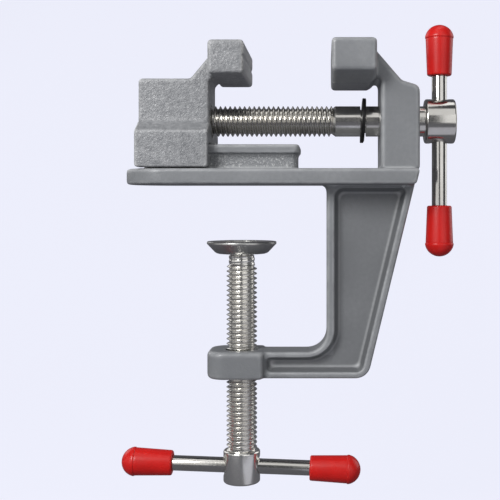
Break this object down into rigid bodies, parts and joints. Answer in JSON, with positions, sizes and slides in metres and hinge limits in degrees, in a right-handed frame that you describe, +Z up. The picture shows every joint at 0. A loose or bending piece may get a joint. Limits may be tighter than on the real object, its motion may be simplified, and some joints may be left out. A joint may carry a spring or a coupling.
{
  "type": "clamp-on table vise",
  "caption": "Small table vise: C-clamp frame with a fixed jaw, a sliding jaw on a T rail, and two screws turned by sliding bars with end caps.",
  "frame": {"origin": "on the seat under the base plate, where the clamp screw's axis meets it", "axes": "+X from the moving jaw to the fixed jaw, along the jaw screw; +Y across the jaws; +Z up, along the clamp screw"},
  "size_m": [0.0864, 0.03, 0.1189],
  "materials": {
    "cast_frame": "semi-gloss grey paint on a die casting",
    "cast_jaw": "light grey, rough orange-peel casting",
    "plated_steel": "bright nickel plating",
    "pad_steel": "dull plating",
    "black_steel": "blacked spring steel",
    "red_plastic": "glossy red vinyl"
  },
  "bodies": {
    "frame": {"frame": "cast_frame"},
    "moving_jaw": {"moving_jaw": "cast_jaw"},
    "jaw_screw": {"jaw_screw": "plated_steel", "snap_ring": "black_steel"},
    "jaw_bar": {"jaw_bar": "plated_steel", "jaw_bar_cap_top": "red_plastic", "jaw_bar_cap_foot": "red_plastic"},
    "pad": {"swivel_pad": "pad_steel"},
    "clamp_screw": {"clamp_screw": "plated_steel"},
    "clamp_bar": {"clamp_bar": "plated_steel", "clamp_bar_cap_right": "red_plastic", "clamp_bar_cap_left": "red_plastic"}
  },
  "joints": [
    {"name": "jaw_screw_turn", "type": "hinge", "parent": "frame", "child": "jaw_screw", "pos_m": [0.022, 0, 0.0165], "axis": [1, 0, 0], "range_deg": [-6107, 2449]},
    {"name": "jaw_slide", "type": "slide", "parent": "frame", "child": "moving_jaw", "axis": [1, 0, 0], "range_m": [-0.0085, 0.0212]},
    {"name": "jaw_bar_slide", "type": "slide", "parent": "jaw_screw", "child": "jaw_bar", "axis": [0, 0, 1], "range_m": [-0.0058, 0.0158]},
    {"name": "pad_lift", "type": "slide", "parent": "frame", "child": "pad", "axis": [0, 0, 1], "range_m": [-0.0242, 0.0143]},
    {"name": "clamp_screw_turn", "type": "hinge", "parent": "pad", "child": "clamp_screw", "pos_m": [0, 0, -0.0728], "axis": [0, 0, 1], "range_deg": [-6971, 4120]},
    {"name": "clamp_bar_slide", "type": "slide", "parent": "clamp_screw", "child": "clamp_bar", "axis": [0.9995, 0, -0.0332], "range_m": [-0.0126, 0.0129]}
  ],
  "couplings": [
    {"joint": "jaw_screw_turn", "follows": "jaw_slide", "rad_per_m": -5026.5},
    {"joint": "clamp_screw_turn", "follows": "pad_lift", "rad_per_m": 5026.5}
  ]
}
